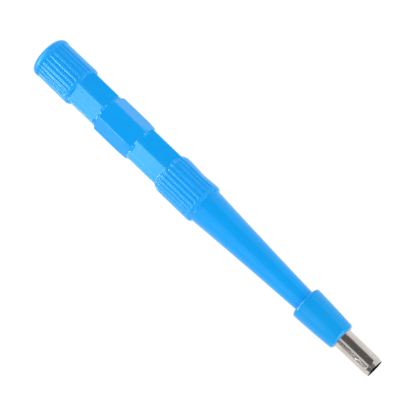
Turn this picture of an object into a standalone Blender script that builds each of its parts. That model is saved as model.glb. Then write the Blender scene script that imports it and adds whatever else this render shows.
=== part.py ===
"""Disposable skin biopsy punch, 5 mm: a plastic handle, a conical nose hub and a sharpened steel tube.

Metres, +Z up. The punch lies along X with its cutting edge at +X, and the origin is on the surface it lies
on, under the middle of its length. A station is a distance along the punch from its rear face. An angle
around the punch is counted from straight up (+Z) towards -Y.
"""

import math

import bmesh
import bpy

MM = 0.001

# Whole punch
LENGTH = 118.6 * MM
FIT_GAP = 0.05 * MM            # radial gap of the bonded fits between handle, hub and tube
END_GAP = 0.3 * MM             # gap along the axis where one piece ends inside another

# Rings of points that the handle is lofted through
RIBS_AROUND = 27               # rib pitches in a full turn
POINTS_PER_RIB = 4
RING_POINTS = RIBS_AROUND * POINTS_PER_RIB
RING_STEP = math.tau / RING_POINTS
FACE_POINTS = RING_POINTS // 2  # one mould half's share of the ring
RIBS_PER_FACE = 9              # the rest of each half is left smooth, beside the parting line
MOULD_ANGLE = math.radians(9)  # where the middle of the upper mould half faces
FACE_STEPS = 15.0              # ring steps from the middle of a half to where its shoulders start to
STRIP_STEPS = 22.0             # change, and to where they have the shape of the smooth strips

# Knob
KNOB_REAR_RADIUS = 5.70 * MM
KNOB_RADIUS = 5.75 * MM
RIB_HEIGHT = 0.28 * MM
RIM_RADIUS = 5.86 * MM         # plain rim behind the ribs
RIM_ROUNDING = 1.5 * MM
RIM_END = 1.7 * MM
RIM_STEP = 0.35 * MM           # length over which the rim falls to the ribs
KNOB_RIBS_END = 11.95 * MM
KNOB_ARRIS = 13.05 * MM        # edge between the sloping and the steep part of the front shoulder
KNOB_ROOT = 13.38 * MM         # where the shoulder meets the grip on the ribbed faces
KNOB_STRIP_START = 12.5 * MM   # rounding of the smooth strips
KNOB_END = 13.75 * MM
GATE_RADIUS = 2.0 * MM         # shallow dish in the rear face, where the plastic was fed in
GATE_FLOOR_RADIUS = 1.7 * MM
GATE_DEPTH = 0.3 * MM

# Hexagonal grip, in three lengths of one hexagon, the middle one turned
HEX_APOTHEM = 4.88 * MM
HEX_CORNER_ROUNDING = 0.85 * MM
HALF_SIDE = math.radians(30)   # half the angle that one side of a hexagon spans
REAR_CORNER_STEPS = 3.5        # ring steps from the mould half's middle to the nearest corner
REAR_CORNER = MOULD_ANGLE - REAR_CORNER_STEPS * RING_STEP
MIDDLE_CORNER = REAR_CORNER + HALF_SIDE
FRONT_CORNER_STEPS = 2.5
FRONT_CORNER = MOULD_ANGLE - FRONT_CORNER_STEPS * RING_STEP
REAR_GRIP_END = 22.1 * MM
MIDDLE_GRIP_END = 34.5 * MM
GRIP_STEP = 0.95 * MM          # length over which one hexagon turns into the next

# Collar
COLLAR_RADIUS = 5.75 * MM
CONE_START = 44.9 * MM         # where the cone leaves the grip on the ribbed faces
CONE_END = 46.4 * MM
STRIP_CONE_START = 44.5 * MM   # and on the smooth strips, where it is longer
STRIP_CONE_END = 46.9 * MM
CONE_POWER = 1.7               # how fast the cone's slope dies away towards the collar
COLLAR_RIBS_START = 45.7 * MM
COLLAR_RIBS_END = 56.75 * MM
COLLAR_ARRIS = 57.77 * MM
COLLAR_ROOT = 58.08 * MM
COLLAR_STRIP_START = 57.35 * MM
COLLAR_END = 58.5 * MM
SINK_DEPTH = 0.27 * MM         # hollow drawn into the upper smooth strip as the plastic cooled
SINK_STATIONS = 2
ARRIS_SHARE = 0.27             # part of a shoulder's height lost before its edge

# Shank
SHANK_REAR_RADIUS = 5.04 * MM
SHANK_FRONT_RADIUS = 3.03 * MM
SHANK_HOLLOW = 0.09 * MM       # how far its sides curve in, half way along
SHANK_STEPS = 5
SEAT_RADIUS = 3.00 * MM        # the part of the shank inside the hub
SEAT_END = 98.8 * MM
SPIGOT_RADIUS = 2.40 * MM      # thin front end inside the tube
SPIGOT_END = 103.8 * MM
END_CHAMFER = 0.3 * MM

# Nose hub
TURNED_POINTS = 54
HUB_START = 94.05 * MM
HUB_END = 107.3 * MM
HUB_REAR_RADIUS = 4.60 * MM
HUB_FRONT_RADIUS = 3.93 * MM
HUB_CROWN = 0.08 * MM          # how far its sides bulge, half way along
HUB_ROUNDING = 0.75 * MM
HUB_STEPS = 4
ROUNDING_STEPS = 3

# Cutter tube
BORE_RADIUS = 2.50 * MM
TUBE_RADIUS = 2.775 * MM
BEVEL_LENGTH = 1.28 * MM
EDGE_LAND = 0.02 * MM          # width left at the cutting edge

SHARP_ANGLE = math.radians(28)
PLASTIC_ROUGHNESS = 0.38
STEEL_ROUGHNESS = 0.22
HANDLE_BLUE = (0.0, 0.31, 0.90, 1.0)
HUB_BLUE = (0.0, 0.29, 0.84, 1.0)
STEEL_GREY = (0.62, 0.60, 0.57, 1.0)


def clear_scene():
    for item in list(bpy.data.objects):
        bpy.data.objects.remove(item, do_unlink=True)


def make_material(name, colour, roughness, metallic):
    material = bpy.data.materials.new(name)
    material.use_nodes = True
    shader = material.node_tree.nodes["Principled BSDF"]
    shader.inputs["Base Color"].default_value = colour
    shader.inputs["Roughness"].default_value = roughness
    shader.inputs["Metallic"].default_value = metallic
    material.diffuse_color = colour
    return material


def ring_angles(count):
    """Angles of a ring's points, half a step either side of the mould half's middle."""
    return [MOULD_ANGLE + (index + 0.5) * math.tau / count for index in range(count)]


def ring_point(station, radius, angle):
    x = station - LENGTH / 2
    y = -radius * math.sin(angle)
    z = RIM_RADIUS + radius * math.cos(angle)
    return x, y, z


def loft(name, sections, material, closed):
    """Join sections, each a station and its radii, into one body.

    A closed loft is a tube whose last section meets its first; an open one is solid and capped.
    """
    mesh = bpy.data.meshes.new(name)
    bm = bmesh.new()
    rings = []
    for station, radii in sections:
        angles = ring_angles(len(radii))
        ring = [bm.verts.new(ring_point(station, radius, angle)) for radius, angle in zip(radii, angles)]
        rings.append(ring)
    following = rings[1:] + rings[:1] if closed else rings[1:]
    for near, far in zip(rings, following):
        for index in range(len(near)):
            after = (index + 1) % len(near)
            bm.faces.new((near[index], near[after], far[after], far[index]))
    if not closed:
        bm.faces.new(rings[0])
        bm.faces.new(rings[-1])
    bmesh.ops.recalc_face_normals(bm, faces=bm.faces)
    bm.to_mesh(mesh)
    bm.free()
    mesh.shade_smooth()
    mesh.set_sharp_from_angle(angle=SHARP_ANGLE)
    mesh.materials.append(material)
    item = bpy.data.objects.new(name, mesh)
    bpy.context.scene.collection.objects.link(item)
    return item


def circle(radius, count=RING_POINTS):
    return [radius] * count


def face_offset(point):
    """Ring steps from a handle ring's point to the middle of the mould half that formed it."""
    return (point + 0.5 + FACE_POINTS / 2) % FACE_POINTS - FACE_POINTS / 2


def ribbed(radii):
    """Cut the grooves between the ribs of both mould halves into a ring."""
    result = []
    for point, radius in enumerate(radii):
        offset = face_offset(point)
        rib = round(offset / POINTS_PER_RIB)
        off_crest = abs(offset - rib * POINTS_PER_RIB)
        grooved = off_crest > POINTS_PER_RIB / 4 and abs(rib) <= RIBS_PER_FACE // 2
        result.append(radius - RIB_HEIGHT if grooved else radius)
    return result


def between(start, end, value):
    """How far a value is from start to end, kept from 0 to 1."""
    return min(1.0, max(0.0, (value - start) / (end - start)))


def mixed(on_face, on_strip):
    """A ring with one radius on the ribbed faces, another on the smooth strips and a ramp between."""
    radii = []
    for point in range(RING_POINTS):
        share = between(FACE_STEPS, STRIP_STEPS, abs(face_offset(point)))
        radii.append(on_face + (on_strip - on_face) * share)
    return radii


def hexagon(corner_angle):
    """Radii of a hexagon with rounded corners, one of them at corner_angle."""
    rounding_centre = (HEX_APOTHEM - HEX_CORNER_ROUNDING) / math.cos(HALF_SIDE)
    tangent_rise = HEX_CORNER_ROUNDING * math.sin(HALF_SIDE)
    tangent_reach = rounding_centre + HEX_CORNER_ROUNDING * math.cos(HALF_SIDE)
    rounded_span = math.atan2(tangent_rise, tangent_reach)
    radii = []
    for angle in ring_angles(RING_POINTS):
        off_corner = abs((angle - corner_angle + HALF_SIDE) % (2 * HALF_SIDE) - HALF_SIDE)
        if off_corner > rounded_span:
            radii.append(HEX_APOTHEM / math.cos(HALF_SIDE - off_corner))
            continue
        across = rounding_centre * math.sin(off_corner)
        along = rounding_centre * math.cos(off_corner)
        radii.append(along + math.sqrt(HEX_CORNER_ROUNDING ** 2 - across ** 2))
    return radii


def outermost(first, second):
    return [max(pair) for pair in zip(first, second)]


def sunk(radii, depth):
    """Hollow the smooth strip on the +Y side, beside the upper mould half."""
    strip_middle = MOULD_ANGLE - math.pi / 2
    strip_half = math.pi / 2 - (RIBS_PER_FACE / 2) * math.tau / RIBS_AROUND
    result = []
    for radius, angle in zip(radii, ring_angles(RING_POINTS)):
        away = abs((angle - strip_middle + math.pi) % math.tau - math.pi) / strip_half
        hollow = depth * math.cos(away * math.pi / 2) if away < 1 else 0.0
        result.append(radius - hollow)
    return result


def rounding(station, radius, size, turn_out):
    """Stations and radii of a quarter round of the given size that ends at a radius.

    turn_out is True for a rear rim, which grows from the station on, and False for a front rim.
    """
    points = []
    for step in range(ROUNDING_STEPS + 1):
        turn = math.pi / 2 * step / ROUNDING_STEPS
        along = size * (1 - math.cos(turn)) if turn_out else size * math.sin(turn)
        down = size * (1 - math.sin(turn)) if turn_out else size * (1 - math.cos(turn))
        points.append((station + along, radius - down))
    return points


def front_shoulder(face, strip, radius, low):
    """Stations and rings of a grip's front shoulder, which falls from a radius to a low one.

    On the ribbed faces it slopes to an edge and then drops; face holds the stations where the slope starts,
    of the edge and of the root. On the smooth strips it is a quarter round between the two strip stations.
    """
    ribs_end, arris, root = face
    start, end = strip
    half_way = (start + root) / 2
    sections = []
    for station in (arris, half_way, root, (root + end) / 2, end):
        slope = ARRIS_SHARE * between(ribs_end, arris, station)
        drop = (1 - ARRIS_SHARE) * between(arris, root, station)
        fall = 1 - math.sqrt(1 - between(start, end, station) ** 2)
        on_face = radius - (radius - low) * (slope + drop)
        on_strip = radius - (radius - low) * fall
        sections.append((station, mixed(on_face, on_strip)))
    sections.sort(key=lambda section: section[0])
    return sections


def knob_sections(hexagonal):
    sections = [
        (GATE_DEPTH, circle(GATE_FLOOR_RADIUS)),
        (0.0, circle(GATE_RADIUS)),
    ]
    for station, radius in rounding(0.0, RIM_RADIUS, RIM_ROUNDING, True):
        sections.append((station, circle(radius)))
    sections.append((RIM_END, circle(RIM_RADIUS)))
    sections.append((RIM_END + RIM_STEP, ribbed(circle(KNOB_REAR_RADIUS))))
    sections.append((KNOB_RIBS_END, ribbed(circle(KNOB_RADIUS))))
    face = KNOB_RIBS_END, KNOB_ARRIS, KNOB_ROOT
    strip = KNOB_STRIP_START, KNOB_END
    for station, radii in front_shoulder(face, strip, KNOB_RADIUS, HEX_APOTHEM):
        sections.append((station, outermost(radii, hexagonal)))
    return sections


def grip_sections(rear, middle, front):
    return [
        (REAR_GRIP_END, rear),
        (REAR_GRIP_END + GRIP_STEP, middle),
        (MIDDLE_GRIP_END, middle),
        (MIDDLE_GRIP_END + GRIP_STEP, front),
    ]


def cone_radius(start, end, station):
    """Radius of the collar's rear cone, steep where it leaves the grip and level at the collar."""
    left = 1 - between(start, end, station)
    return COLLAR_RADIUS - (COLLAR_RADIUS - HEX_APOTHEM) * left ** CONE_POWER


def cone_ring(station, hexagonal):
    on_face = cone_radius(CONE_START, CONE_END, station)
    on_strip = cone_radius(STRIP_CONE_START, STRIP_CONE_END, station)
    return outermost(mixed(on_face, on_strip), hexagonal)


def collar_sections(hexagonal):
    first_rib_station = (CONE_START + COLLAR_RIBS_START) / 2
    sections = []
    for station in (STRIP_CONE_START, CONE_START, first_rib_station):
        sections.append((station, cone_ring(station, hexagonal)))
    for station in (COLLAR_RIBS_START, CONE_END, STRIP_CONE_END):
        sections.append((station, ribbed(cone_ring(station, hexagonal))))
    ribs_length = COLLAR_RIBS_END - STRIP_CONE_END
    for step in range(1, SINK_STATIONS + 1):
        share = step / (SINK_STATIONS + 1)
        hollow = sunk(circle(COLLAR_RADIUS), SINK_DEPTH * math.sin(share * math.pi))
        sections.append((STRIP_CONE_END + share * ribs_length, ribbed(hollow)))
    sections.append((COLLAR_RIBS_END, ribbed(circle(COLLAR_RADIUS))))
    face = COLLAR_RIBS_END, COLLAR_ARRIS, COLLAR_ROOT
    strip = COLLAR_STRIP_START, COLLAR_END
    sections += front_shoulder(face, strip, COLLAR_RADIUS, SHANK_REAR_RADIUS)
    return sections


def shank_sections():
    sections = []
    for step in range(1, SHANK_STEPS + 1):
        share = step / SHANK_STEPS
        station = COLLAR_END + share * (HUB_START - COLLAR_END)
        straight = SHANK_REAR_RADIUS + share * (SHANK_FRONT_RADIUS - SHANK_REAR_RADIUS)
        sections.append((station, circle(straight - 4 * SHANK_HOLLOW * share * (1 - share))))
    sections += [
        (HUB_START + FIT_GAP, circle(SEAT_RADIUS)),
        (SEAT_END - END_CHAMFER, circle(SEAT_RADIUS)),
        (SEAT_END, circle(SEAT_RADIUS - END_CHAMFER)),
        (SEAT_END, circle(SPIGOT_RADIUS)),
        (SPIGOT_END - END_CHAMFER, circle(SPIGOT_RADIUS)),
        (SPIGOT_END, circle(SPIGOT_RADIUS - END_CHAMFER)),
    ]
    return sections


def make_handle():
    """One moulding: knob, three hexagonal lengths, ribbed collar, shank, seat and spigot."""
    rear = hexagon(REAR_CORNER)
    front = hexagon(FRONT_CORNER)
    sections = knob_sections(rear)
    sections += grip_sections(rear, hexagon(MIDDLE_CORNER), front)
    sections += collar_sections(front)
    sections += shank_sections()
    material = make_material("handle_blue", HANDLE_BLUE, PLASTIC_ROUGHNESS, 0.0)
    return loft("handle", sections, material, closed=False)


def make_hub():
    """Conical ferrule, bored for the tube and counterbored from the rear for the handle's seat."""
    socket_radius = SEAT_RADIUS + FIT_GAP
    bore_radius = TUBE_RADIUS + FIT_GAP
    socket_end = SEAT_END + END_GAP
    rear_body = HUB_START + HUB_ROUNDING
    front_body = HUB_END - HUB_ROUNDING
    profile = rounding(HUB_START, HUB_REAR_RADIUS, HUB_ROUNDING, True)
    for step in range(1, HUB_STEPS):
        share = step / HUB_STEPS
        straight = HUB_REAR_RADIUS + share * (HUB_FRONT_RADIUS - HUB_REAR_RADIUS)
        station = rear_body + share * (front_body - rear_body)
        profile.append((station, straight + 4 * HUB_CROWN * share * (1 - share)))
    profile += rounding(front_body, HUB_FRONT_RADIUS, HUB_ROUNDING, False)
    profile += [
        (HUB_END, bore_radius),
        (socket_end, bore_radius),
        (socket_end, socket_radius),
        (HUB_START, socket_radius),
    ]
    sections = [(station, circle(radius, TURNED_POINTS)) for station, radius in profile]
    material = make_material("hub_blue", HUB_BLUE, PLASTIC_ROUGHNESS, 0.0)
    return loft("nose_hub", sections, material, closed=True)


def make_cutter_tube():
    """Steel tube, ground outside to a circular edge at its bore."""
    rear = SEAT_END + END_GAP
    profile = [
        (rear, BORE_RADIUS),
        (rear, TUBE_RADIUS),
        (LENGTH - BEVEL_LENGTH, TUBE_RADIUS),
        (LENGTH, BORE_RADIUS + EDGE_LAND),
        (LENGTH, BORE_RADIUS),
    ]
    sections = [(station, circle(radius, TURNED_POINTS)) for station, radius in profile]
    material = make_material("stainless_steel", STEEL_GREY, STEEL_ROUGHNESS, 1.0)
    return loft("cutter_tube", sections, material, closed=True)


def main():
    clear_scene()
    make_handle()
    make_hub()
    make_cutter_tube()


main()
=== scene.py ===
"""Looks of the skin biopsy punch: detailed surfaces, procedural materials, studio light and the camera.

Everything is in metres in the CAD frame: the punch lies along X with its cutting edge at +X and its rear
face at the low X end, +Z up. A station is a distance along the punch from its rear face, and an angle
around it is counted from straight up towards -Y.
"""
import math

import bpy
import numpy as np
from mathutils import Matrix, Vector


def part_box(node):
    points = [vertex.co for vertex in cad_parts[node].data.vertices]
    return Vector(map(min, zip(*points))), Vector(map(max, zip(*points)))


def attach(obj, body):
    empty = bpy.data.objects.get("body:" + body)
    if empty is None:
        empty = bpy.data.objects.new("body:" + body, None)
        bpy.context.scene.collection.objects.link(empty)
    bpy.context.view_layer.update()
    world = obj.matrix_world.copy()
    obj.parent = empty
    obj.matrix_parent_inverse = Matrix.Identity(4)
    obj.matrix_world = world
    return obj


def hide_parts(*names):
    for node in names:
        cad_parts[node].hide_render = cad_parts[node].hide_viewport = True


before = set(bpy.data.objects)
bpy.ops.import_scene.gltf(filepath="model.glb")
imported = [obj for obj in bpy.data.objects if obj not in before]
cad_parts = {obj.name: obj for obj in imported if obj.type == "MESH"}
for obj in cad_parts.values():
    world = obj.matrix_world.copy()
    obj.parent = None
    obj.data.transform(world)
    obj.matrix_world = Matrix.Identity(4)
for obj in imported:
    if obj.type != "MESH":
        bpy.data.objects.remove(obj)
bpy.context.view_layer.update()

MM = 0.001
HANDLE_LOW, HANDLE_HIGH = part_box("handle")
HUB_LOW, HUB_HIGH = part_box("nose_hub")
TUBE_LOW, TUBE_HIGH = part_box("cutter_tube")
REAR_X = HANDLE_LOW.x
AXIS_Z = (HANDLE_LOW.z + HANDLE_HIGH.z) / 2
LENGTH = TUBE_HIGH.x - REAR_X

# ---------------------------------------------------------------- sizes
# Pairs are the start and the end of a change along the punch. A change of four values starts, is complete,
# begins to fade and has faded.
FIT_GAP = 0.05 * MM
RIBS_AROUND = 27                 # rib pitches in a full turn
RIBS_PER_FACE = 9
RIB_HEIGHT = 0.26 * MM
RIB_HALF_WIDTH = 0.30            # of a rib pitch
STRIP_EDGE = 0.10, 0.36          # where the strip rises, in rib pitches past the ribbed face
MOULD_ANGLE = math.radians(9)    # middle of the upper ribbed face
STRIP_START = math.radians(50)   # from the middle of a ribbed face to where the smooth strip begins
STRIP_FULL = math.radians(76)
SHARP_ANGLE = math.radians(40)   # edges sharper than this stay sharp in the shading
POINTS_PER_RIB = 14
FLASH_HEIGHT = 0.022 * MM        # of the fine line where the mould's halves met
FLASH_WIDTH = 0.07 * MM
FLASH_START = 0.8 * MM, 1.6 * MM
FLASH_POINTS = (-0.13 * MM, -0.06 * MM, -0.03 * MM, 0.0, 0.03 * MM, 0.06 * MM, 0.13 * MM)
OFF_GRID = 1e-5                  # radians that keep those points from meeting an even one
UNEVENNESS = 0.005 * MM          # of the moulding's surface
UNEVENNESS_LENGTH = 9 * MM
UNEVENNESS_START = 2 * MM, 6 * MM
UNEVENNESS_SEED = 5
UNEVENNESS_WAVES = 7

# The gate's dish in the rear face, as depths and radii from its middle outwards
GATE_DISH = (
    (0.12 * MM, 0.35 * MM),
    (0.12 * MM, 0.62 * MM),
    (0.30 * MM, 0.70 * MM),
    (0.30 * MM, 1.60 * MM),
    (0.26 * MM, 1.75 * MM),
    (0.04 * MM, 1.95 * MM),
    (0.0, 2.10 * MM),
    (0.0, 3.2 * MM),
)
RIM_RADIUS = (HANDLE_HIGH.z - HANDLE_LOW.z) / 2
RIM_FLAT_RADIUS = 4.30 * MM
RIM_LENGTH = 1.70 * MM
RIM_STEPS = 16
RIM_FALL = 1.85 * MM, 2.60 * MM
KNOB_RIBS = 1.62 * MM, 1.98 * MM, 11.95 * MM, 12.45 * MM
KNOB_REAR_RADIUS = 5.70 * MM
KNOB_FRONT_RADIUS = 5.75 * MM
KNOB_FACE_SHOULDER = 11.70 * MM, 13.38 * MM
KNOB_STRIP_SHOULDER = 12.50 * MM, 13.75 * MM

HEX_APOTHEM = 4.89 * MM
HEX_ROUNDING = 0.50 * MM
HEX_HOLLOW = 0.03 * MM
HEX_DRAFT = 0.05 * MM            # how much wider the rear length is at its rear end
HEX_DRAFT_END = 13 * MM, 20 * MM
HEX_CORNER_ANGLE = math.radians(-2.7)
HEX_TURN = math.radians(29)      # of the middle length
HEX_TWIST = math.radians(2.8)    # of the front length
HEX_TWIST_RUN = 22 * MM, 35 * MM
STRAIGHT_ENDS = 22.10 * MM, 22.85 * MM       # the rear length gives way to the turned middle one
STRAIGHT_RETURNS = 34.45 * MM, 35.00 * MM    # and comes back as the front length
TURNED_STARTS = 22.25 * MM, 23.25 * MM
TURNED_SINKS = 31.8 * MM, 34.6 * MM
TURNED_SINK_SHARE = 0.22         # how much of the middle length's corners is gone before its end
TURNED_ENDS = 34.35 * MM, 35.50 * MM
JOIN_DEPTH = 0.1 * MM            # how far a knob or collar dips under the grip or shank it runs into
HEX_FILLET = 0.06 * MM
GRIP_FILLET = 0.10 * MM
SHANK_FILLET = 0.12 * MM

COLLAR_FACE_CONE = 44.90 * MM, 46.40 * MM
COLLAR_STRIP_CONE = 44.50 * MM, 46.90 * MM
CONE_POWER = 1.7                 # how fast the cone's slope dies away towards the collar
COLLAR_RIBS = 45.30 * MM, 45.75 * MM, 56.75 * MM, 57.20 * MM
COLLAR_RADIUS = 5.75 * MM
COLLAR_FACE_SHOULDER = 56.50 * MM, 58.08 * MM
COLLAR_STRIP_SHOULDER = 57.35 * MM, 58.50 * MM
COLLAR_FILLET_END = 58.8 * MM
SHOULDER_BREAK = 0.80            # part of a shoulder's length before its sharp edge
SHOULDER_SHARE = 0.27            # part of its height lost before that edge
SINK_DEPTH = 0.27 * MM           # hollow in the collar's upper strip
SINK_STATION = 52.7 * MM
SINK_LENGTH = 2.9 * MM
SINK_SPAN = math.radians(38)

SHANK_REAR_RADIUS = 5.04 * MM
SHANK_FRONT_RADIUS = 3.03 * MM
SHANK_HOLLOW = 0.09 * MM
SEAT_RADIUS = 3.00 * MM
SEAT_CLEARANCE = 0.03 * MM       # between the seat and its size in the CAD
SEAT_START = 0.25 * MM           # past the hub's rear face
SPIGOT_RADIUS = 2.40 * MM
SPIGOT_LENGTH = 5.0 * MM
SPIGOT_END = HANDLE_HIGH.x - REAR_X
END_CHAMFER = 0.3 * MM
WORN_RADIUS = 5.55 * MM          # what stands out this far is touched and worn
WORN_START = 0.97                # of the worn radius
WORN_SPAN = 0.08

HUB_START = HUB_LOW.x - REAR_X
HUB_END = HUB_HIGH.x - REAR_X
HUB_REAR_RADIUS = 4.60 * MM
HUB_FRONT_RADIUS = 3.94 * MM
HUB_CROWN = 0.08 * MM
HUB_FACE_RADIUS = 3.5 * MM
HUB_REAR_ROUNDING = 0.70 * MM
HUB_FRONT_ROUNDING = 0.95 * MM   # along the hub
HUB_FRONT_FALL = 0.80 * MM       # and across it
HUB_STEPS = 24
HUB_REAR_STEPS = 10
HUB_FRONT_STEPS = 12
SOCKET_CHAMFER = 0.10 * MM
HUB_BORE_CHAMFER = 0.06 * MM
TURNED_POINTS = 160

TUBE_START = TUBE_LOW.x - REAR_X
TUBE_RADIUS = (TUBE_HIGH.z - TUBE_LOW.z) / 2
BORE_RADIUS = 2.50 * MM
BEVEL_LENGTH = 1.28 * MM
BURR = 0.05 * MM                 # chamfer at the tube's hidden rear end


# ---------------------------------------------------------------- shaping helpers
def ease(low, high, value):
    """0 below low, 1 above high and a smooth S between."""
    share = np.clip((value - low) / (high - low), 0, 1)
    return share * share * (3 - 2 * share)


def blend_max(first, second, fillet):
    """The larger of two radii, with a fillet of about that size where they cross."""
    share = np.clip(0.5 + 0.5 * (second - first) / fillet, 0, 1)
    return first + (second - first) * share + fillet * share * (1 - share)


def stretch(start, end, step):
    """Evenly spaced stations from start up to, not including, end."""
    count = max(1, round((end - start) / step))
    return [start + (end - start) * index / count for index in range(count)]


def quarter(start, end, low, high, steps, rising):
    """Stations and radii of a quarter ellipse, rising from a rear face or falling to a front one."""
    points = []
    for index in range(steps + 1):
        turn = math.pi / 2 * index / steps
        along, out = (1 - math.cos(turn), math.sin(turn)) if rising else (math.sin(turn), math.cos(turn))
        points.append((start + (end - start) * along, low + (high - low) * out))
    return points


def waves(stations, angles, seed, count, longest):
    """A smooth unevenness between about -1 and 1, the sum of a few slow waves."""
    draw = np.random.default_rng(seed)
    total = np.zeros(np.broadcast(stations, angles).shape)
    for _ in range(count):
        along = draw.uniform(0.4, 1.6) * math.tau / longest
        around = draw.integers(1, 5)
        total = total + np.sin(along * stations + around * angles + draw.uniform(0, math.tau))
    return total / math.sqrt(count)


def grid_mesh(name, stations, radii, angles, closed, wear=None):
    """A body from rows of radii, one row for each station. A closed one is a ring in section."""
    x = np.repeat((np.asarray(stations) + REAR_X)[:, None], len(angles), 1)
    y = -radii * np.sin(angles)[None, :]
    z = AXIS_Z + radii * np.cos(angles)[None, :]
    points = np.stack([x, y, z], -1).reshape(-1, 3)
    rows, columns = radii.shape
    faces = []
    for row in range(rows if closed else rows - 1):
        near = row * columns
        far = ((row + 1) % rows) * columns
        for column in range(columns):
            after = (column + 1) % columns
            faces.append((near + column, near + after, far + after, far + column))
    if not closed:
        faces.append(tuple(range(columns - 1, -1, -1)))
        faces.append(tuple((rows - 1) * columns + column for column in range(columns)))
    mesh = bpy.data.meshes.new(name)
    mesh.from_pydata(points.tolist(), [], faces)
    mesh.validate()
    if wear is not None:
        attribute = mesh.attributes.new("edge_wear", "FLOAT", "POINT")
        attribute.data.foreach_set("value", np.asarray(wear, dtype=np.float32).ravel())
    mesh.shade_smooth()
    mesh.set_sharp_from_angle(angle=SHARP_ANGLE)
    item = bpy.data.objects.new(name, mesh)
    bpy.context.scene.collection.objects.link(item)
    return item


# ---------------------------------------------------------------- handle
def hexagon(angles, corner_angle):
    """Radii of the grip's hexagon, its corners rounded and its sides a touch hollow."""
    half = math.radians(30)
    centre = (HEX_APOTHEM - HEX_ROUNDING) / math.cos(half)
    span = math.atan2(HEX_ROUNDING * math.sin(half), centre + HEX_ROUNDING * math.cos(half))
    off_corner = np.abs((angles - corner_angle + half) % (2 * half) - half)
    flat = HEX_APOTHEM / np.cos(half - off_corner)
    reach = np.clip(HEX_ROUNDING ** 2 - (centre * np.sin(off_corner)) ** 2, 0, None)
    corner = centre * np.cos(off_corner) + np.sqrt(reach)
    hollow = HEX_HOLLOW * ease(0.0, 0.8 * (half - span), off_corner - span)
    return np.where(off_corner > span, flat - hollow, corner)


def grip_radii(stations, angles):
    """Three lengths of one hexagon, the middle one turned; corners end in short slopes."""
    straight = hexagon(angles - HEX_TWIST * ease(*HEX_TWIST_RUN, stations), HEX_CORNER_ANGLE)
    turned = hexagon(angles, HEX_CORNER_ANGLE + HEX_TURN)
    common = np.minimum(straight, turned)
    straight_share = 1 - ease(*STRAIGHT_ENDS, stations) + ease(*STRAIGHT_RETURNS, stations)
    turned_share = ease(*TURNED_STARTS, stations)
    turned_share = turned_share * (1 - TURNED_SINK_SHARE * ease(*TURNED_SINKS, stations))
    turned_share = turned_share * (1 - ease(*TURNED_ENDS, stations))
    rear_draft = HEX_DRAFT * (1 - ease(*HEX_DRAFT_END, stations))
    first = common + (straight - common) * straight_share
    second = common + (turned - common) * turned_share
    return blend_max(first, second, HEX_FILLET) + rear_draft


def off_face(angles):
    """How far an angle is from the middle of the nearer ribbed face."""
    return np.abs((angles - MOULD_ANGLE + math.pi / 2) % math.pi - math.pi / 2)


def rib_pattern(angles):
    """1 on the ribs and on the smooth strips beside the parting lines, 0 on a groove's floor."""
    place = off_face(angles) / (math.tau / RIBS_AROUND)
    nearest = np.round(place)
    ridge = np.sqrt(np.clip(1 - (np.abs(place - nearest) / RIB_HALF_WIDTH) ** 2, 0, 1))
    ridge = np.where(nearest <= RIBS_PER_FACE // 2, ridge, 0)
    last = RIBS_PER_FACE / 2
    return np.maximum(ridge, ease(last + STRIP_EDGE[0], last + STRIP_EDGE[1], place))


def strip_share(angles):
    """0 on the ribbed faces and 1 on the smooth strips."""
    return ease(STRIP_START, STRIP_FULL, off_face(angles))


def between(ends, stations):
    """How far a station is along a stretch, from 0 to 1."""
    return np.clip((stations - ends[0]) / (ends[1] - ends[0]), 0, 1)


def shoulder_fall(face_ends, strip_ends, stations, angles):
    """0 before a knob's or collar's front shoulder and 1 after it.

    The ribbed faces have a slope and then a sharp edge, and the strips have a full rounding.
    """
    face = between(face_ends, stations)
    slope = SHOULDER_SHARE * (face / SHOULDER_BREAK) ** 2
    wall = SHOULDER_SHARE + (1 - SHOULDER_SHARE) * (face - SHOULDER_BREAK) / (1 - SHOULDER_BREAK)
    face = np.where(face < SHOULDER_BREAK, slope, wall)
    strip = 1 - np.sqrt(1 - between(strip_ends, stations) ** 2)
    return face + (strip - face) * strip_share(angles)


def grooves(ends, stations, angles):
    """Depth of the grooves between the ribs."""
    start, full, fading, end = ends
    length = ease(start, full, stations) * (1 - ease(fading, end, stations))
    return RIB_HEIGHT * length * (1 - rib_pattern(angles))


def knob_radii(stations, angles):
    taper = between((RIM_FALL[1], KNOB_FACE_SHOULDER[0]), stations)
    radius = KNOB_REAR_RADIUS + (KNOB_FRONT_RADIUS - KNOB_REAR_RADIUS) * taper
    radius = radius + (RIM_RADIUS - KNOB_REAR_RADIUS) * (1 - ease(*RIM_FALL, stations))
    fall = shoulder_fall(KNOB_FACE_SHOULDER, KNOB_STRIP_SHOULDER, stations, angles)
    radius = radius - (KNOB_FRONT_RADIUS - HEX_APOTHEM + JOIN_DEPTH) * fall
    return radius - grooves(KNOB_RIBS, stations, angles)


def collar_radii(stations, angles):
    low = HEX_APOTHEM - JOIN_DEPTH
    face = 1 - (1 - between(COLLAR_FACE_CONE, stations)) ** CONE_POWER
    strip = 1 - (1 - between(COLLAR_STRIP_CONE, stations)) ** CONE_POWER
    radius = low + (COLLAR_RADIUS - low) * (face + (strip - face) * strip_share(angles))
    fall = shoulder_fall(COLLAR_FACE_SHOULDER, COLLAR_STRIP_SHOULDER, stations, angles)
    radius = radius - (COLLAR_RADIUS - SHANK_REAR_RADIUS + JOIN_DEPTH) * fall
    sink_along = np.exp(-((stations - SINK_STATION) / SINK_LENGTH) ** 2)
    away = (angles - MOULD_ANGLE + math.pi / 2 + math.pi) % math.tau - math.pi
    radius = radius - SINK_DEPTH * sink_along * np.exp(-(away / SINK_SPAN) ** 2)
    return radius - grooves(COLLAR_RIBS, stations, angles)


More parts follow.
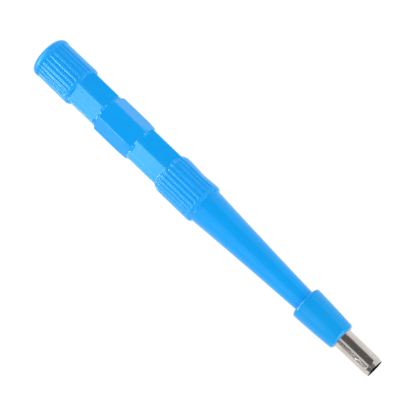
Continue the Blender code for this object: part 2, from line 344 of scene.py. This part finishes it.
def shank_radii(stations):
    share = between((COLLAR_STRIP_SHOULDER[1], HUB_START), stations)
    radius = SHANK_REAR_RADIUS + share * (SHANK_FRONT_RADIUS - SHANK_REAR_RADIUS)
    return radius - 4 * SHANK_HOLLOW * share * (1 - share)


def parting_flash(stations, angles):
    """The fine raised line where the mould's halves met."""
    line = np.abs((angles - MOULD_ANGLE) % math.pi - math.pi / 2) * COLLAR_RADIUS
    height = FLASH_HEIGHT * np.exp(-(line / FLASH_WIDTH) ** 2)
    return height * ease(*FLASH_START, stations)


def ring_angles(count, refined):
    """Evenly spread angles, with more of them close to the parting lines if refined."""
    angles = [MOULD_ANGLE + math.tau * index / count for index in range(count)]
    if refined:
        for side in (-1, 1):
            for offset in FLASH_POINTS:
                angles.append(MOULD_ANGLE + side * math.pi / 2 + offset / COLLAR_RADIUS + OFF_GRID)
    return np.array(sorted(angle % math.tau for angle in angles))


def handle_stations():
    """Stations from the rim to the hub, close together where the shape changes.

    Each row is a change's start and end, the step within it and the step from it to the next one.
    """
    changes = (
        (RIM_LENGTH + 0.06 * MM, RIM_FALL[1] + 0.20 * MM, 0.06 * MM, 0.7 * MM),
        (KNOB_FACE_SHOULDER[0] - 0.30 * MM, KNOB_STRIP_SHOULDER[1] + 0.45 * MM, 0.06 * MM, 0.8 * MM),
        (STRAIGHT_ENDS[0] - 0.20 * MM, TURNED_STARTS[1] + 0.25 * MM, 0.08 * MM, 0.8 * MM),
        (TURNED_ENDS[0] - 0.25 * MM, TURNED_ENDS[1] + 0.20 * MM, 0.08 * MM, 0.8 * MM),
        (COLLAR_STRIP_CONE[0] - 0.20 * MM, COLLAR_STRIP_CONE[1] + 0.30 * MM, 0.07 * MM, 0.6 * MM),
        (COLLAR_FACE_SHOULDER[0] - 0.30 * MM, COLLAR_STRIP_SHOULDER[1] + 0.50 * MM, 0.06 * MM, 1.1 * MM),
    )
    next_starts = [change[0] for change in changes[1:]] + [HUB_START + 0.2 * MM]
    stations = []
    for (start, end, fine, coarse), next_start in zip(changes, next_starts):
        stations += stretch(start, end, fine)
        stations += stretch(end, next_start, coarse)
    return np.array(stations)[:, None]


def handle_radii(stations, angles):
    """Radii of the handle between its rim and the hub, each length run into the next."""
    knob = knob_radii(stations, angles)
    grip = grip_radii(stations, angles)
    collar = collar_radii(stations, angles)
    shank = shank_radii(stations) + 0 * angles
    grip_middle = (KNOB_STRIP_SHOULDER[1] + COLLAR_STRIP_CONE[0]) / 2
    lengths = (
        (stations < KNOB_FACE_SHOULDER[0], knob),
        (stations <= grip_middle, blend_max(knob, grip, GRIP_FILLET)),
        (stations <= COLLAR_RIBS[1], blend_max(collar, grip, GRIP_FILLET)),
        (stations <= COLLAR_FACE_SHOULDER[0], collar),
        (stations <= COLLAR_FILLET_END, blend_max(collar, shank, SHANK_FILLET)),
    )
    radii = np.select([here for here, _ in lengths], [length for _, length in lengths], shank)
    radii = radii + parting_flash(stations, angles)
    uneven = waves(stations, angles, UNEVENNESS_SEED, UNEVENNESS_WAVES, UNEVENNESS_LENGTH)
    return radii + UNEVENNESS * uneven * ease(*UNEVENNESS_START, stations)


def make_handle():
    angles = ring_angles(RIBS_AROUND * POINTS_PER_RIB, True)
    around = angles[None, :]
    stations = handle_stations()
    rear = list(GATE_DISH) + quarter(0.0, RIM_LENGTH, RIM_FLAT_RADIUS, RIM_RADIUS, RIM_STEPS, True)
    seat_radius = SEAT_RADIUS - SEAT_CLEARANCE
    spigot_start = SPIGOT_END - SPIGOT_LENGTH
    front = [
        (HUB_START + SEAT_START, seat_radius),
        (spigot_start - END_CHAMFER, seat_radius),
        (spigot_start, SEAT_RADIUS - END_CHAMFER),
        (spigot_start, SPIGOT_RADIUS),
        (SPIGOT_END - END_CHAMFER, SPIGOT_RADIUS),
        (SPIGOT_END, SPIGOT_RADIUS - END_CHAMFER),
    ]
    ends = [np.array(part) for part in (rear, front)]
    rounds = [part[:, 1:] + 0 * around for part in ends]
    all_stations = np.concatenate([ends[0][:, 0], stations[:, 0], ends[1][:, 0]])
    all_radii = np.concatenate([rounds[0], handle_radii(stations, around), rounds[1]])
    worn = np.clip(all_radii / WORN_RADIUS - WORN_START, 0, WORN_SPAN) / WORN_SPAN
    return grid_mesh("handle_moulding", all_stations, all_radii, angles, False, worn)


# ---------------------------------------------------------------- hub and tube
def turned_piece(name, profile):
    angles = ring_angles(TURNED_POINTS, False)
    stations = np.array([station for station, _ in profile])
    radii = np.array([radius for _, radius in profile])[:, None] + 0 * angles[None, :]
    return grid_mesh(name, stations, radii, angles, True)


def make_hub():
    """The nose hub, turned from its rear face over its outside and back through its stepped bore."""
    bore = TUBE_RADIUS + FIT_GAP
    socket = SEAT_RADIUS + FIT_GAP
    body_start, body_end = HUB_START + HUB_REAR_ROUNDING, HUB_END - HUB_FRONT_ROUNDING
    rear_low = HUB_REAR_RADIUS - HUB_REAR_ROUNDING
    front_low = HUB_FRONT_RADIUS - HUB_FRONT_FALL
    profile = [(HUB_START, socket + SOCKET_CHAMFER), (HUB_START, HUB_FACE_RADIUS)]
    profile += quarter(HUB_START, body_start, rear_low, HUB_REAR_RADIUS, HUB_REAR_STEPS, True)
    for index in range(1, HUB_STEPS):
        share = index / HUB_STEPS
        radius = HUB_REAR_RADIUS + share * (HUB_FRONT_RADIUS - HUB_REAR_RADIUS)
        radius += 4 * HUB_CROWN * share * (1 - share)
        profile.append((body_start + share * (body_end - body_start), radius))
    profile += quarter(body_end, HUB_END, front_low, HUB_FRONT_RADIUS, HUB_FRONT_STEPS, False)
    profile += [
        (HUB_END, bore + HUB_BORE_CHAMFER),
        (HUB_END - HUB_BORE_CHAMFER, bore),
        (TUBE_START, bore),
        (TUBE_START, socket),
        (HUB_START + SOCKET_CHAMFER, socket),
    ]
    return turned_piece("hub_moulding", profile)


def make_tube():
    """The steel tube, with rings close to the bevel's edge so that the shading stays crisp there.

    The bevel's rows are millimetres past its edge and below the tube's outside. The tip's are millimetres
    short of the cutting edge and outside the bore.
    """
    bevel_start = LENGTH - BEVEL_LENGTH
    profile = [
        (TUBE_START, BORE_RADIUS + BURR),
        (TUBE_START, TUBE_RADIUS - BURR),
        (TUBE_START + BURR, TUBE_RADIUS),
        (TUBE_START + 3 * BURR, TUBE_RADIUS),
        (HUB_END, TUBE_RADIUS),
    ]
    for past_edge, fall in ((-0.10, 0.0), (-0.03, 0.0), (0.03, 0.008), (0.10, 0.023)):
        profile.append((bevel_start + past_edge * MM, TUBE_RADIUS - fall * MM))
    for short_of_tip, wall in ((0.08, 0.019), (0.01, 0.004), (0.0, 0.002), (0.0, 0.0)):
        profile.append((LENGTH - short_of_tip * MM, BORE_RADIUS + wall * MM))
    profile += [
        (LENGTH - 0.2 * MM, BORE_RADIUS),
        (TUBE_START + BURR, BORE_RADIUS),
    ]
    return turned_piece("steel_cutter", profile)


# ---------------------------------------------------------------- materials
HANDLE_PALE = (0.0, 0.372, 0.94, 1)
HANDLE_DEEP = (0.0, 0.352, 0.91, 1)
HANDLE_ROUGHNESS = 0.16
HUB_PALE = (0.0, 0.350, 0.86, 1)
HUB_DEEP = (0.0, 0.335, 0.84, 1)
HUB_ROUGHNESS = 0.17
ROUGHNESS_RANGE = 0.03           # either side of a plastic's roughness
MATT_HIGH_SPOTS = 0.20           # roughness added where hands have worn the high spots
MATT_RUBBED = 0.15               # and more of it in patches
PLASTIC_IOR = 1.46
PLASTIC_GLOSS_TINT = (0.62, 1.0, 1.0, 1)
STEEL_DEEP = (0.57, 0.53, 0.49, 1)
STEEL_PALE = (0.65, 0.61, 0.57, 1)
SCUFF_COLOUR = (0.80, 0.78, 0.75, 1)
# painted shade: a near-black colour that stands in for the shade inside the bore
BORE_PAINTED_SHADE = (0.012, 0.011, 0.010, 1)
STEEL_ROUGHNESS = 0.08, 0.13
SCUFF_ROUGHNESS = 0.10           # added on the scuffs
BEVEL_ROUGHNESS = 0.08           # added on the ground bevel


class Nodes:
    """Short forms for building the node tree of a material or of the world."""

    def __init__(self, owner, shader, place):
        owner.use_nodes = True
        self.tree = owner.node_tree
        self.shader = self.tree.nodes[shader]
        self.place = self.add("ShaderNodeTexCoord").outputs[place]

    @classmethod
    def material(cls, name):
        item = bpy.data.materials.new(name)
        nodes = cls(item, "Principled BSDF", "Object")
        return item, nodes

    def add(self, kind, **settings):
        node = self.tree.nodes.new(kind)
        for key, value in settings.items():
            setattr(node, key, value)
        return node

    def link(self, output, socket):
        self.tree.links.new(output, socket)

    def noise(self, scale, detail=2.0, roughness=0.5, squeeze=(1, 1, 1)):
        """Noise in object space; scale is in features for each metre, squeeze scales the axes."""
        mapping = self.add("ShaderNodeMapping")
        mapping.inputs["Scale"].default_value = squeeze
        self.link(self.place, mapping.inputs["Vector"])
        node = self.add("ShaderNodeTexNoise")
        node.inputs["Scale"].default_value = scale
        node.inputs["Detail"].default_value = detail
        node.inputs["Roughness"].default_value = roughness
        self.link(mapping.outputs["Vector"], node.inputs["Vector"])
        return node.outputs["Fac"]

    def remap(self, value, from_low, from_high, to_low, to_high, smooth=False):
        node = self.add("ShaderNodeMapRange", interpolation_type="SMOOTHSTEP" if smooth else "LINEAR")
        ends = {"From Min": from_low, "From Max": from_high, "To Min": to_low, "To Max": to_high}
        for key, number in ends.items():
            node.inputs[key].default_value = number
        self.link(value, node.inputs["Value"])
        return node.outputs["Result"]

    def math(self, operation, *values):
        node = self.add("ShaderNodeMath", operation=operation)
        for socket, value in zip(node.inputs, values):
            if isinstance(value, (int, float)):
                socket.default_value = value
            else:
                self.link(value, socket)
        return node.outputs["Value"]

    def total(self, values):
        """The sum of two or more values."""
        result = values[0]
        for value in values[1:]:
            result = self.math("ADD", result, value)
        return result

    def mix_colours(self, factor, first, second):
        node = self.add("ShaderNodeMix", data_type="RGBA")
        self.link(factor, node.inputs["Factor"])
        for socket, value in ((node.inputs["A"], first), (node.inputs["B"], second)):
            if isinstance(value, tuple):
                socket.default_value = value
            else:
                self.link(value, socket)
        return node.outputs["Result"]

    def bump(self, height, strength, distance, under=None):
        node = self.add("ShaderNodeBump")
        node.inputs["Strength"].default_value = strength
        node.inputs["Distance"].default_value = distance
        self.link(height, node.inputs["Height"])
        if under is not None:
            self.link(under, node.inputs["Normal"])
        return node.outputs["Normal"]


def plastic(name, pale, deep, base_roughness):
    """Semi-gloss moulded plastic: flow clouds in the colour, fine mould grain, faint handling scratches."""
    material, n = Nodes.material(name)
    clouds = n.remap(n.noise(150, detail=3.0, roughness=0.55, squeeze=(0.5, 1, 1)), 0.35, 0.65, 0.0, 1.0)
    colour = n.mix_colours(clouds, deep, pale)
    wear = n.add("ShaderNodeAttribute", attribute_name="edge_wear").outputs["Fac"]
    rubbed = n.math("MULTIPLY", wear, n.remap(n.noise(900), 0.4, 0.7, 0.0, 0.35))
    worn = (pale[0] + 0.02, pale[1] * 1.18, pale[2] * 1.04, 1.0)
    colour = n.mix_colours(rubbed, colour, worn)
    n.link(colour, n.shader.inputs["Base Color"])
    low, high = base_roughness - ROUGHNESS_RANGE, base_roughness + ROUGHNESS_RANGE
    patches = n.remap(n.noise(420, detail=3.0), 0.3, 0.7, low, high)
    matt = n.total([n.math("MULTIPLY", wear, MATT_HIGH_SPOTS), n.math("MULTIPLY", rubbed, MATT_RUBBED)])
    n.link(n.total([patches, matt]), n.shader.inputs["Roughness"])
    grain = n.bump(n.noise(5200, roughness=0.6), 0.35, 0.002 * MM)
    scratches = n.remap(n.noise(2600, detail=1.0, squeeze=(0.08, 1, 1)), 0.66, 0.72, 0.0, 1.0)
    normal = n.bump(scratches, 0.25, 0.006 * MM, grain)
    n.link(normal, n.shader.inputs["Normal"])
    n.shader.inputs["IOR"].default_value = PLASTIC_IOR
    n.shader.inputs["Specular Tint"].default_value = PLASTIC_GLOSS_TINT
    return material


def steel(name):
    """Drawn stainless tube: fine lines along it, ground rings on the bevel, a few scuffs, and painted shade
    that colours the bore near-black.
    """
    material, n = Nodes.material(name)
    position = n.add("ShaderNodeSeparateXYZ")
    n.link(n.place, position.inputs["Vector"])
    along, aside, height = position.outputs["X"], position.outputs["Y"], position.outputs["Z"]
    bevel_x = REAR_X + LENGTH - BEVEL_LENGTH
    on_bevel = n.remap(along, bevel_x - 0.02 * MM, bevel_x + 0.02 * MM, 0.0, 1.0)
    tone = n.remap(n.noise(700, detail=3.0, roughness=0.6, squeeze=(0.5, 1, 1)), 0.3, 0.7, 0.0, 1.0)
    colour = n.mix_colours(tone, STEEL_DEEP, STEEL_PALE)
    scuffs = n.remap(n.noise(1500, roughness=0.6, squeeze=(0.7, 1, 1)), 0.60, 0.68, 0.0, 1.0)
    colour = n.mix_colours(n.math("MULTIPLY", scuffs, 0.5), colour, SCUFF_COLOUR)
    above = n.math("SUBTRACT", height, AXIS_Z)
    squares = n.total([n.math("POWER", aside, 2.0), n.math("POWER", above, 2.0)])
    from_axis = n.math("SQRT", squares)
    # Painted shade: the steel inside the bore gets a near-black colour in place of the shade that falls
    # there.
    painted_bore_shade = n.remap(from_axis, BORE_RADIUS + 0.004 * MM, BORE_RADIUS + 0.012 * MM, 1.0, 0.0)
    colour = n.mix_colours(painted_bore_shade, colour, BORE_PAINTED_SHADE)
    n.link(colour, n.shader.inputs["Base Color"])
    streaks = n.noise(5200, roughness=0.6, squeeze=(0.03, 1, 1))
    rings = n.noise(5200, roughness=0.6, squeeze=(1, 0.05, 0.05))
    roughness = n.total([
        n.remap(streaks, 0.3, 0.7, *STEEL_ROUGHNESS),
        n.math("MULTIPLY", scuffs, SCUFF_ROUGHNESS),
        n.math("MULTIPLY", on_bevel, BEVEL_ROUGHNESS),
    ])
    n.link(roughness, n.shader.inputs["Roughness"])
    on_tube = n.math("SUBTRACT", 1.0, on_bevel)
    lines = n.total([n.math("MULTIPLY", streaks, on_tube), n.math("MULTIPLY", rings, on_bevel)])
    n.link(n.bump(lines, 0.3, 0.002 * MM), n.shader.inputs["Normal"])
    n.shader.inputs["Metallic"].default_value = 1.0
    return material


# ---------------------------------------------------------------- studio
# The camera looks down on the punch, leaning a little towards the cutting edge, and is rolled so that the
# punch lies across the picture.
CAMERA_PLACE = Vector((0.1142, -0.0052, 0.5717))
CAMERA_AIM = Vector((0.0, 0.0001, AXIS_Z))
CAMERA_ROLL = math.radians(43.97)
CAMERA_LENS = 195.06
FLOOR_SIZE = 3.0
FLOOR_DROP = 0.2 * MM            # keeps the floor clear of the surface that the punch lies on
FLOOR_GLOW = 0.96
TENT_LEVEL = 0.97
TENT_SIDE = 0.30                 # added at the tent's -Y side

# What a shiny surface mirrors. Heights are from 0 at the horizon to 1 straight up, and turns are in degrees
# round the vertical, counted from -X towards -Y. A band starts, is full, falls and ends.
WHITE_WALL = 0.95
DIM_CEILING = 0.145
WALL_CENTRE = (0.64, 0.76, 0.10)
WALL_EDGE = 0.585, 0.675         # cosines of the angle from the wall's centre
HORIZON_EDGE = 0.14, 0.34
PANELS = (
    # turns, heights and strength
    ((-20, 30, 73, 82), (0.14, 0.30, 0.60, 0.70), 4.8),     # wide, over the rear and -Y sides
    ((64, 74, 84, 100), (0.74, 0.84, 0.95, 0.985), 0.8),    # faint, almost overhead
    ((83, 86, 87, 92), (0.30, 0.45, 0.78, 0.90), 2.2),      # narrow, at the -Y side
    ((-14, 8, 48, 60), (0.10, 0.20, 0.78, 0.90), 2.6),      # tall, over the rear
)
FRONT_PANEL = 0.50, 0.66         # from this much of +X in the direction
FRONT_HEIGHT = 0.16, 0.36
FRONT_STRENGTH = 4.4
KEY_TURN = math.radians(61)
KEY_RISE = 0.26
KEY_DISTANCE = 2.0
KEY_WIDTH = 1.05
KEY_HEIGHT = 0.50
KEY_STRENGTH = 18.0


def make_camera():
    data = bpy.data.cameras.new("studio_camera")
    data.lens = CAMERA_LENS
    data.sensor_width = 36.0
    data.clip_start = 0.01
    data.clip_end = 50.0
    camera = bpy.data.objects.new("studio_camera", data)
    bpy.context.scene.collection.objects.link(camera)
    back = (CAMERA_PLACE - CAMERA_AIM).normalized()
    right = Vector((0, 1, 0)).cross(back).normalized()
    up = back.cross(right)
    turned_right = right * math.cos(CAMERA_ROLL) + up * math.sin(CAMERA_ROLL)
    turned_up = up * math.cos(CAMERA_ROLL) - right * math.sin(CAMERA_ROLL)
    rotation = Matrix((turned_right, turned_up, back)).transposed().to_4x4()
    camera.matrix_world = Matrix.Translation(CAMERA_PLACE) @ rotation
    bpy.context.scene.camera = camera


def make_floor():
    """A plain white floor that shines a little itself, so that it stays even."""
    mesh = bpy.data.meshes.new("studio_floor")
    corners = [(x * FLOOR_SIZE, y * FLOOR_SIZE, 0) for x, y in ((-1, -1), (1, -1), (1, 1), (-1, 1))]
    mesh.from_pydata(corners, [], [(0, 1, 2, 3)])
    floor = bpy.data.objects.new("studio_floor", mesh)
    floor.location.z = -FLOOR_DROP
    bpy.context.scene.collection.objects.link(floor)
    material, n = Nodes.material("floor_white")
    n.shader.inputs["Base Color"].default_value = (0.08, 0.08, 0.08, 1)
    n.shader.inputs["Roughness"].default_value = 1.0
    n.shader.inputs["Specular IOR Level"].default_value = 0.0
    n.shader.inputs["Emission Color"].default_value = (1, 1, 1, 1)
    n.shader.inputs["Emission Strength"].default_value = FLOOR_GLOW
    mesh.materials.append(material)


def window(n, value, band, level):
    """Level inside a band of values, with soft edges."""
    start, full, falling, end = band
    rising = n.remap(value, start, full, 0.0, level, smooth=True)
    return n.math("MULTIPLY", rising, n.remap(value, falling, end, 1.0, 0.0, smooth=True))


def make_world():
    """An evenly lit white tent, and what a shiny surface mirrors instead of it.

    Mirrored are a dim ceiling, a white wall on the +Y side, a white band at the horizon and soft panels.
    """
    world = bpy.data.worlds.new("studio_world")
    bpy.context.scene.world = world
    world.cycles.sampling_method = "NONE"
    n = Nodes(world, "Background", "Generated")
    parts = n.add("ShaderNodeSeparateXYZ")
    n.link(n.place, parts.inputs["Vector"])
    along, aside, height = parts.outputs["X"], parts.outputs["Y"], parts.outputs["Z"]
    turn = n.math("ARCTAN2", n.math("MULTIPLY", aside, -1.0), n.math("MULTIPLY", along, -1.0))
    lit = []
    for turns, heights, strength in PANELS:
        across = window(n, turn, [math.radians(angle) for angle in turns], strength)
        lit.append(n.math("MULTIPLY", across, window(n, height, heights, 1.0)))
    front = n.remap(along, *FRONT_PANEL, 0.0, FRONT_STRENGTH, smooth=True)
    lit.append(n.math("MULTIPLY", front, n.remap(height, *FRONT_HEIGHT, 0.0, 1.0, smooth=True)))
    to_wall = n.add("ShaderNodeVectorMath", operation="DOT_PRODUCT")
    n.link(n.place, to_wall.inputs[0])
    to_wall.inputs[1].default_value = Vector(WALL_CENTRE).normalized()
    wall = n.remap(to_wall.outputs["Value"], *WALL_EDGE, 0.0, 1.0, smooth=True)
    horizon = n.remap(height, *HORIZON_EDGE, 1.0, 0.0, smooth=True)
    room = n.remap(n.math("MAXIMUM", wall, horizon), 0.0, 1.0, DIM_CEILING, WHITE_WALL)
    mirrored = n.add("ShaderNodeLightPath").outputs["Is Glossy Ray"]
    seen = n.math("MULTIPLY", n.total([room] + lit), mirrored)
    even = n.math("ADD", n.remap(aside, -1.0, 0.0, TENT_SIDE, 0.0), TENT_LEVEL)
    even = n.math("MULTIPLY", even, n.math("SUBTRACT", 1.0, mirrored))
    n.link(n.total([seen, even]), n.shader.inputs["Strength"])
    n.shader.inputs["Color"].default_value = (1, 1, 1, 1)


def make_key():
    """A softbox low at the rear -Y side, for the glints along the ribs. Only gloss shows its light."""
    data = bpy.data.lights.new("key_softbox", "AREA")
    data.shape = "RECTANGLE"
    data.size = KEY_WIDTH
    data.size_y = KEY_HEIGHT
    data.energy = KEY_STRENGTH * math.pi * KEY_WIDTH * KEY_HEIGHT
    key = bpy.data.objects.new("key_softbox", data)
    level = math.sqrt(1 - KEY_RISE * KEY_RISE)
    toward = Vector((-math.cos(KEY_TURN) * level, -math.sin(KEY_TURN) * level, KEY_RISE))
    key.location = toward * KEY_DISTANCE
    key.rotation_euler = toward.to_track_quat("Z", "Y").to_euler()
    key.visible_diffuse = False
    key.visible_camera = False
    bpy.context.scene.collection.objects.link(key)


def make_studio():
    make_camera()
    make_key()
    make_floor()
    make_world()
    bpy.context.scene.view_settings.view_transform = "Standard"


make_studio()
handle = make_handle()
hub = make_hub()
tube = make_tube()
handle.data.materials.append(plastic("handle_plastic", HANDLE_PALE, HANDLE_DEEP, HANDLE_ROUGHNESS))
hub.data.materials.append(plastic("hub_plastic", HUB_PALE, HUB_DEEP, HUB_ROUGHNESS))
tube.data.materials.append(steel("cutter_steel"))
for piece, node, slot in (
    (handle, "handle", "handle_plastic"),
    (hub, "nose_hub", "hub_plastic"),
    (tube, "cutter_tube", "cutter_steel"),
):
    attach(piece, "root")
    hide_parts(node)
